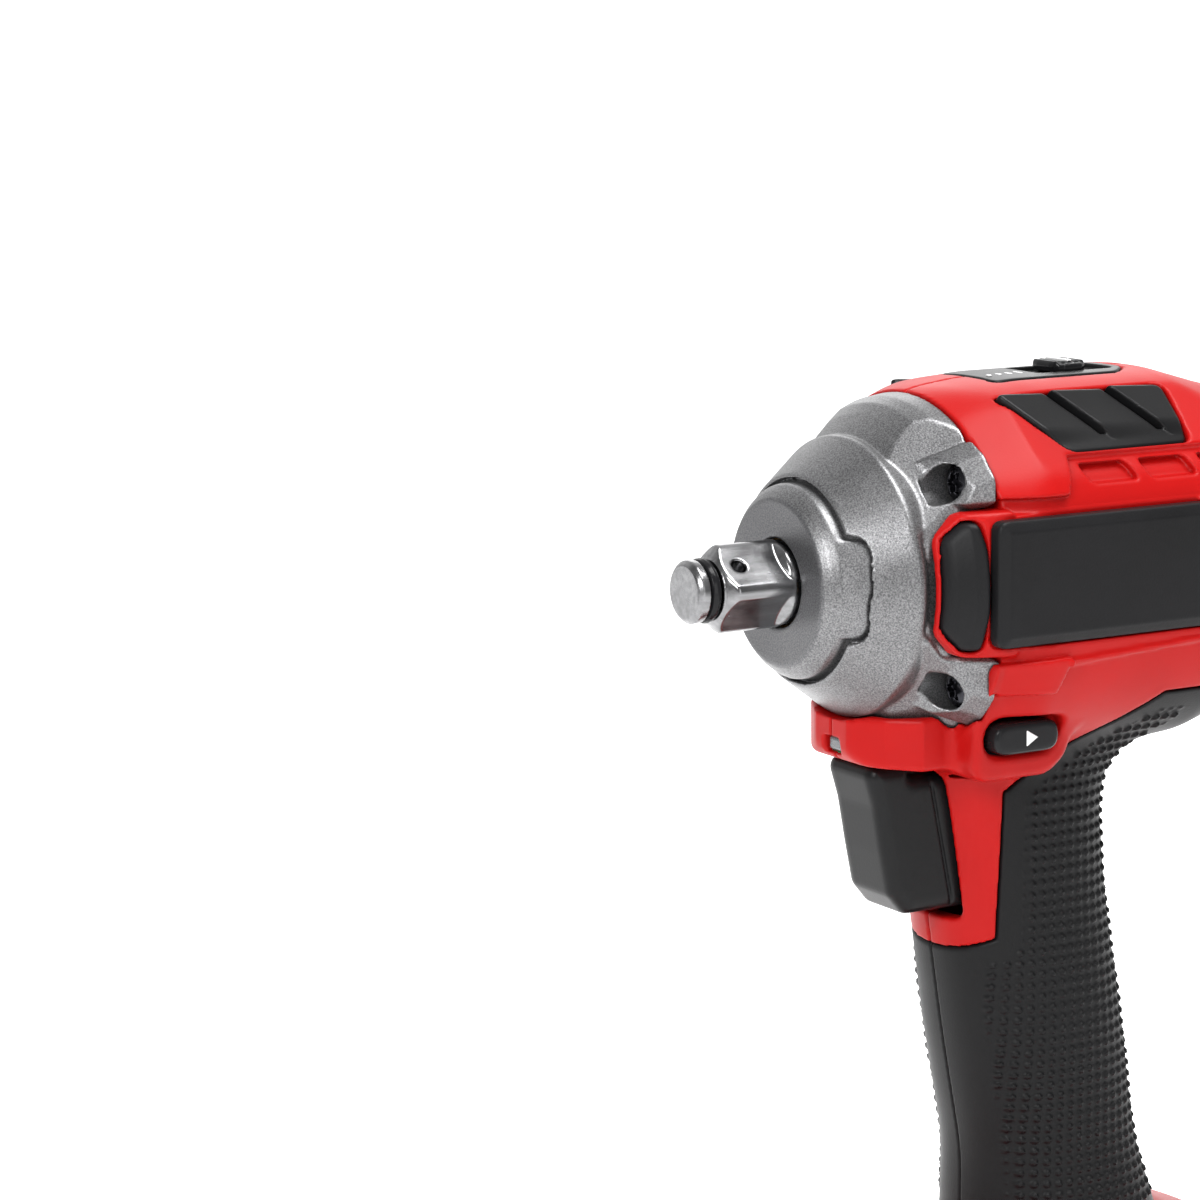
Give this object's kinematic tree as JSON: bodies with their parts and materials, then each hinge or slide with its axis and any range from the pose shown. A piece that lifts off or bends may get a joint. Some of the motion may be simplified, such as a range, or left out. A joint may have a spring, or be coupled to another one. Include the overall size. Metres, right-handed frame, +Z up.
{
  "type": "cordless impact wrench",
  "caption": "Pistol-grip impact wrench with a square drive, cast hammer case, red shell with black inlays, trigger and slide-on battery.",
  "frame": {"origin": "centre of the bounding box on the underside of the battery, which is the plane it stands on", "axes": "+X backwards along the drive axis, so the square drive points to -X; -Y is the tool's left side; +Z up"},
  "size_m": [0.14, 0.0746, 0.2414],
  "materials": {
    "red_plastic": "moulded glass-filled nylon, satin",
    "black_rubber": "soft overmoulded elastomer, matt",
    "black_plastic": "moulded nylon, fine grain",
    "cast_alloy": "bead-blasted die casting",
    "bright_steel": "ground steel",
    "dark_steel": "hardened and oiled steel",
    "black_steel": "black-oxide fastener",
    "aluminium": "machined",
    "bronze": "sintered bearing bronze",
    "copper_winding": "varnished copper wire on a laminated core",
    "clear_lens": "clear polycarbonate",
    "circuit_board": "solder mask",
    "cell_wrap": "shrink sleeve over a steel can"
  },
  "bodies": {
    "housing": {"hammer_case": "cast_alloy", "left_housing": "red_plastic", "right_housing": "red_plastic", "rear_cover": "black_rubber", "left_side_panel": "black_rubber", "right_side_panel": "black_rubber", "left_nose_bumper": "black_rubber", "right_nose_bumper": "black_rubber", "left_vent_louvre": "black_plastic", "right_vent_louvre": "black_plastic", "left_grip": "black_rubber", "right_grip": "black_rubber", "top_control_panel": "black_plastic", "led_lens": "clear_lens", "led_board": "circuit_board", "controller_board": "circuit_board", "battery_terminals": "black_plastic", "trigger_switch": "black_plastic", "trigger_spring": "bright_steel", "anvil_bush": "bronze", "anvil_washer": "bright_steel", "ring_gear": "bright_steel", "gearbox_plate": "aluminium", "spindle_bearing": "bright_steel", "front_motor_bearing": "bright_steel", "rear_motor_bearing": "bright_steel", "stator": "copper_winding", "case_screw_left_lower": "black_steel", "case_screw_left_upper": "black_steel", "case_screw_right_lower": "black_steel", "case_screw_right_upper": "black_steel"},
    "anvil": {"anvil": "dark_steel", "friction_ring": "black_rubber"},
    "spindle": {"spindle": "bright_steel", "spring_seat": "bright_steel", "hammer_spring": "bright_steel", "cam_ball_1": "bright_steel", "cam_ball_2": "bright_steel", "planet_pin_1": "dark_steel", "planet_pin_2": "dark_steel", "planet_pin_3": "dark_steel"},
    "hammer": {"hammer": "dark_steel"},
    "rotor": {"rotor_shaft": "dark_steel", "rotor_core": "dark_steel", "fan": "black_plastic"},
    "planet_1": {"planet_gear_1": "bright_steel"},
    "planet_2": {"planet_gear_2": "bright_steel"},
    "planet_3": {"planet_gear_3": "bright_steel"},
    "trigger": {"trigger": "black_plastic"},
    "direction_selector": {"direction_selector": "black_plastic"},
    "speed_slider": {"speed_slider": "black_plastic"},
    "battery": {"battery_top_case": "black_plastic", "battery_bottom_case": "black_plastic", "battery_board": "circuit_board", "battery_cell_1": "cell_wrap", "battery_cell_2": "cell_wrap", "battery_cell_3": "cell_wrap", "battery_cell_4": "cell_wrap", "battery_cell_5": "cell_wrap"},
    "release_latch": {"release_latch": "red_plastic"}
  },
  "joints": [
    {"name": "spindle_spin", "type": "hinge", "parent": "housing", "child": "spindle", "pos_m": [-0.01, 0, 0.204], "axis": [1, 0, 0], "continuous": true},
    {"name": "anvil_spin", "type": "hinge", "parent": "housing", "child": "anvil", "pos_m": [-0.05, 0, 0.204], "axis": [1, 0, 0], "continuous": true},
    {"name": "rotor_spin", "type": "hinge", "parent": "housing", "child": "rotor", "pos_m": [0.035, 0, 0.204], "axis": [1, 0, 0], "continuous": true},
    {"name": "hammer_slide", "type": "slide", "parent": "spindle", "child": "hammer", "axis": [1, 0, 0], "range_m": [0, 0.006], "stiffness_N_per_m": 9000, "springref_m": -0.003, "deforming": ["hammer_spring"]},
    {"name": "planet_1_spin", "type": "hinge", "parent": "spindle", "child": "planet_1", "pos_m": [0.01, 0.012, 0.204], "axis": [1, 0, 0], "continuous": true},
    {"name": "planet_2_spin", "type": "hinge", "parent": "spindle", "child": "planet_2", "pos_m": [0.01, -0.006, 0.21439], "axis": [1, 0, 0], "continuous": true},
    {"name": "planet_3_spin", "type": "hinge", "parent": "spindle", "child": "planet_3", "pos_m": [0.01, -0.006, 0.19361], "axis": [1, 0, 0], "continuous": true},
    {"name": "trigger_pull", "type": "slide", "parent": "housing", "child": "trigger", "axis": [1, 0, 0], "range_m": [0, 0.0065], "stiffness_N_per_m": 1200, "springref_m": -0.002, "deforming": ["trigger_spring"]},
    {"name": "direction_select", "type": "slide", "parent": "housing", "child": "direction_selector", "axis": [0, 1, 0], "range_m": [-0.003, 0.003]},
    {"name": "speed_select", "type": "slide", "parent": "housing", "child": "speed_slider", "axis": [1, 0, 0], "range_m": [-0.005, 0.005]},
    {"name": "battery_slide", "type": "slide", "parent": "housing", "child": "battery", "axis": [-1, 0, 0], "range_m": [0, 0.09]},
    {"name": "latch_press", "type": "slide", "parent": "battery", "child": "release_latch", "axis": [0, 0, -1], "range_m": [0, 0.0025], "stiffness_N_per_m": 800, "springref_m": -0.002}
  ],
  "couplings": [
    {"joint": "anvil_spin", "follows": "spindle_spin", "ratio": 1},
    {"joint": "rotor_spin", "follows": "spindle_spin", "ratio": 5},
    {"joint": "planet_1_spin", "follows": "spindle_spin", "ratio": -2.6667},
    {"joint": "planet_2_spin", "follows": "spindle_spin", "ratio": -2.6667},
    {"joint": "planet_3_spin", "follows": "spindle_spin", "ratio": -2.6667}
  ]
}
